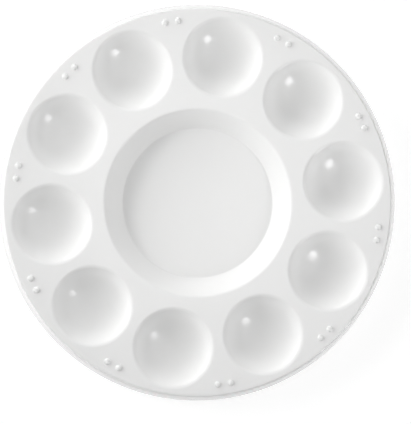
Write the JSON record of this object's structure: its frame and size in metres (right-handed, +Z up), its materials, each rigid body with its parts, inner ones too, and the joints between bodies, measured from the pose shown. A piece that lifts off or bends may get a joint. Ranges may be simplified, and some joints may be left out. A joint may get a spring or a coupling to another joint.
{
  "type": "mixing palette",
  "caption": "Round white plastic mixing palette: a ring of bowl-shaped paint wells round a wide, flat-floored centre well, with small brush-rest pips along the rim.",
  "frame": {"origin": "centre of the palette, on the surface that its skirt's foot stands on", "axes": "+Z up out of the wells; +X through the middle of the first paint well"},
  "size_m": [0.17, 0.17, 0.013],
  "materials": {
    "white_plastic": "bright white moulded plastic with a smooth, even gloss"
  },
  "bodies": {
    "root": {"deck": "white_plastic", "rim_skirt": "white_plastic", "centre_well": "white_plastic", "paint_well_01": "white_plastic", "paint_well_02": "white_plastic", "paint_well_03": "white_plastic", "paint_well_04": "white_plastic", "paint_well_05": "white_plastic", "paint_well_06": "white_plastic", "paint_well_07": "white_plastic", "paint_well_08": "white_plastic", "paint_well_09": "white_plastic", "paint_well_10": "white_plastic", "brush_rest_01_left": "white_plastic", "brush_rest_01_right": "white_plastic", "brush_rest_02_left": "white_plastic", "brush_rest_02_right": "white_plastic", "brush_rest_03_left": "white_plastic", "brush_rest_03_right": "white_plastic", "brush_rest_04_left": "white_plastic", "brush_rest_04_right": "white_plastic", "brush_rest_05_left": "white_plastic", "brush_rest_05_right": "white_plastic", "brush_rest_06_left": "white_plastic", "brush_rest_06_right": "white_plastic", "brush_rest_07_left": "white_plastic", "brush_rest_07_right": "white_plastic", "brush_rest_08_left": "white_plastic", "brush_rest_08_right": "white_plastic", "brush_rest_09_left": "white_plastic", "brush_rest_09_right": "white_plastic", "brush_rest_10_left": "white_plastic", "brush_rest_10_right": "white_plastic"}
  },
  "joints": []
}
